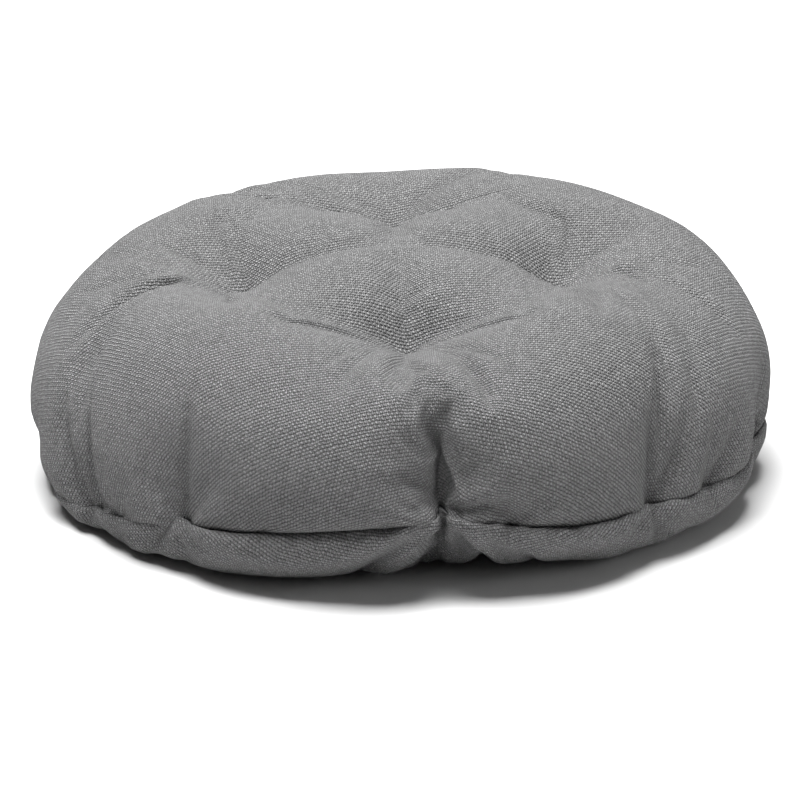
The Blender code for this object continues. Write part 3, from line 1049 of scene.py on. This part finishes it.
def grown(name, path, tree, numbers, material):
    """A plain mesh piece that the tree grows along a path of points."""
    data = bpy.data.curves.new(name, "CURVE")
    data.dimensions = "3D"
    spline = data.splines.new("POLY")
    spline.points.add(len(path) - 1)
    spline.points.foreach_set("co", [number for point in path for number in (*point, 1)])
    base = add_object(name + "_path", data)
    modifier = base.modifiers.new("grow", "NODES")
    modifier.node_group = tree
    sockets = {item.name: item.identifier for item in tree.interface.items_tree if item.in_out == "INPUT"}
    for label, value in numbers.items():
        modifier[sockets[label]] = value
    modifier[sockets["Material"]] = material
    mesh = finished_mesh(base)
    mesh.name = name
    bpy.data.objects.remove(base)
    print(f"{name}: {len(mesh.polygons)} faces")
    return add_object(name, mesh)


# %% [markdown]
# ## The tufting twine
# Each tuft is one length of twine. It starts with a short tail under the cushion, goes up through the
# fibre, crosses a few threads of the top canvas as a single tight stitch, and comes back down beside
# itself. Under the cushion its two ends are tied in a knot, which is what pulls the underside in.

# %% Tufting twine
TWINE_STRAND = 0.00042
TWINE_LAY = 0.00045
TWINE_TURNS = 260
STITCH_HALF = 0.002
KNOT_TURNS = 3
KNOT_RADIUS = 0.0019
KNOT_HEIGHT = 0.0016
TAIL_LENGTH = 0.011
TAIL_REST = 0.0028


def rounded_path(points, rounds=3):
    """Cuts the corners of a path a few times, which turns it into a smooth one."""
    for _ in range(rounds):
        cut = [points[0]]
        for a, b in zip(points, points[1:]):
            cut += [a.lerp(b, 0.25), a.lerp(b, 0.75)]
        points = cut + [points[-1]]
    return points


def twine_path(place, along, across):
    """The twine's route: tail, knot, up, stitch, down, and the other tail."""
    def at(side, forward, height):
        flat = place + along * side + across * forward
        return Vector((flat.x, flat.y, height))

    stitch = TUFT_HOLD_TOP + CANVAS_THICKNESS / 2 + 0.0007
    knot = TUFT_HOLD_BOTTOM - CANVAS_THICKNESS / 2 - 0.0022
    route = [at(-TAIL_LENGTH, 0.006, TAIL_REST), at(-0.006, 0.004, knot - 0.003)]
    for step in range(KNOT_TURNS * 8 + 1):
        turn = math.tau * step / 8
        rise = (step / (KNOT_TURNS * 8) - 0.5) * KNOT_HEIGHT
        route.append(at(KNOT_RADIUS * math.cos(turn), KNOT_RADIUS * math.sin(turn), knot + rise))
    heights = (knot + 0.004, 0.05, stitch - 0.004, stitch)
    route += [at(-STITCH_HALF, 0, height) for height in heights]
    route.append(at(0, 0, stitch + 0.0004))
    route += [at(STITCH_HALF, 0, height) for height in reversed(heights)]
    route += [at(STITCH_HALF, -0.001, knot), at(0.006, -0.004, knot - 0.003)]
    route.append(at(TAIL_LENGTH, -0.007, TAIL_REST))
    return rounded_path(route)


def make_twines():
    """One loop of twine at each tuft, its stitch along the seam's direction there."""
    tree = twisted_cord_tree(3)
    sizes = {
        "Step": 0.0006,
        "Strand Radius": TWINE_STRAND,
        "Lay Radius": TWINE_LAY,
        "Turns per Metre": TWINE_TURNS,
    }
    pieces = {}
    for side, place in tufts.items():
        along = Vector((1, 0)) if side in ("front", "back") else Vector((0, 1))
        across = Vector((-along.y, along.x))
        path = twine_path(place, along, across)
        pieces[side] = grown("stitched_twine_" + side, path, tree, sizes, twine)
    return pieces


twines = make_twines()

# %% [markdown]
# ## The seam's stitches
# The machine's two threads lie on the seam allowance: the needle thread on top of it, the bobbin thread
# under it, a little inside the fold. Each stitch is one short bead of thread. A tree sets the same small
# bead on the path, a stitch length apart, turned along the path. The seam is left open at the back for
# stuffing, and that gap is closed by hand with ladder stitches, which go straight across the seam and
# show as short bars.

# %% Stitch tree
def bead_mesh(length, radius):
    """One stitch along x: a short strand that thins out at both ends."""
    bead = bmesh.new()
    rings = []
    for step in range(7):
        share = step / 6 * 2 - 1
        thin = max(1 - abs(share) ** 4, 0.12)
        middle = Vector((share * length / 2, 0, 0))
        rings.append([
            bead.verts.new(middle + Vector((0, math.cos(turn), math.sin(turn))) * radius * thin)
            for turn in (math.tau * k / 6 for k in range(6))
        ])
    for near, far in zip(rings, rings[1:]):
        for k in range(6):
            bead.faces.new((near[k], far[k], far[(k + 1) % 6], near[(k + 1) % 6]))
    bead.faces.new(rings[0])
    bead.faces.new(reversed(rings[-1]))
    bmesh.ops.recalc_face_normals(bead, faces=bead.faces[:])
    for face in bead.faces:
        face.smooth = True
    mesh = bpy.data.meshes.new("stitch")
    bead.to_mesh(mesh)
    bead.free()
    return add_object("stitch", mesh)


def stitch_tree(name, bead, across):
    """Sets the bead along a path, either along it or straight across it."""
    tree = bpy.data.node_groups.new(name, "GeometryNodeTree")
    given, result = add_inputs(tree, ("Stitch Length",))
    spots = tree.nodes.new("GeometryNodeCurveToPoints")
    spots.mode = "LENGTH"
    put(spots.inputs["Curve"], given["Path"])
    put(spots.inputs["Length"], given["Stitch Length"])
    shape = tree.nodes.new("GeometryNodeObjectInfo")
    shape.inputs["Object"].default_value = bead
    turned = tree.nodes.new("FunctionNodeAlignRotationToVector")
    turned.axis = "Z" if across else "X"
    put(turned.inputs["Vector"], spots.outputs["Tangent"])
    uneven = tree.nodes.new("FunctionNodeRandomValue")
    uneven.data_type = "FLOAT"
    uneven.inputs["Seed"].default_value = 7
    low, high = [socket for socket in uneven.inputs if socket.type == "VALUE"][:2]
    low.default_value = 0.85
    high.default_value = 1.05
    laid = tree.nodes.new("GeometryNodeInstanceOnPoints")
    put(laid.inputs["Points"], spots.outputs["Points"])
    put(laid.inputs["Instance"], shape.outputs["Geometry"])
    put(laid.inputs["Rotation"], turned.outputs["Rotation"])
    put(laid.inputs["Scale"], next(s for s in uneven.outputs if s.type == "VALUE"))
    finish_tree(tree, laid.outputs["Instances"], given, result)
    return tree


# %% Seam stitches
STITCH_LENGTH = 0.003
THREAD_RADIUS = 0.0004
STITCH_INSET = 0.004
CLOSING_HALF_ANGLE = 20
LADDER_SPACING = 0.006
LADDER_REACH = 0.0042


def seam_path(first, last, inset, lift):
    """Points along the seam between two angles, moved inwards and up."""
    path = []
    for angle in np.arange(first, last, 0.1):
        x, y, z = seam_point(angle)
        share = 1 - inset / math.hypot(x, y)
        path.append(Vector((x * share, y * share, z + lift)))
    return path


def make_seam_stitches():
    first, last = -180 + CLOSING_HALF_ANGLE, 180 - CLOSING_HALF_ANGLE
    lift = CANVAS_THICKNESS / 2 + SEAM_HALF_GAP + THREAD_RADIUS / 2
    bead = bead_mesh(STITCH_LENGTH * 0.96, THREAD_RADIUS)
    tree = stitch_tree("machine_stitches", bead, across=False)
    sizes = {"Stitch Length": STITCH_LENGTH}
    needle = grown("needle_stitches", seam_path(first, last, STITCH_INSET, lift), tree, sizes, thread)
    bobbin = grown("bobbin_stitches", seam_path(first, last, STITCH_INSET, -lift), tree, sizes, thread)
    bpy.data.objects.remove(bead)

    bead = bead_mesh(LADDER_REACH, THREAD_RADIUS)
    tree = stitch_tree("ladder_stitches", bead, across=True)
    path = seam_path(180 - CLOSING_HALF_ANGLE, 180 + CLOSING_HALF_ANGLE, -0.0004, 0.0)
    ladder = grown("ladder_stitches", path, tree, {"Stitch Length": LADDER_SPACING}, thread)
    bpy.data.objects.remove(bead)
    return needle, bobbin, ladder


needle_stitches, bobbin_stitches, ladder_stitches = make_seam_stitches()

# %% [markdown]
# ## Putting it together
# Every piece gets its finish and rides on the cushion's one body, and the plain solid that it stands for
# is hidden.

# %% Finishes and bodies
def settle(piece, material, slot, *nodes):
    """Gives a piece its finish and its body, and hides the plain solids that it stands for."""
    piece.data.materials.clear()
    piece.data.materials.append(material)
    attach(piece, "root")
    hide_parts(*nodes)


settle(top_panel, canvas, "canvas", "top_cover")
settle(bottom_panel, canvas, "canvas", "bottom_cover")
settle(fibre_filling, fibre, "fibre", "filling")
settle(needle_stitches, thread, "thread", "seam_needle_thread")
settle(bobbin_stitches, thread, "thread", "seam_bobbin_thread")
settle(ladder_stitches, thread, "thread", "closing_seam_thread")
for side, piece in twines.items():
    settle(piece, twine, "twine", "tuft_twine_" + side)

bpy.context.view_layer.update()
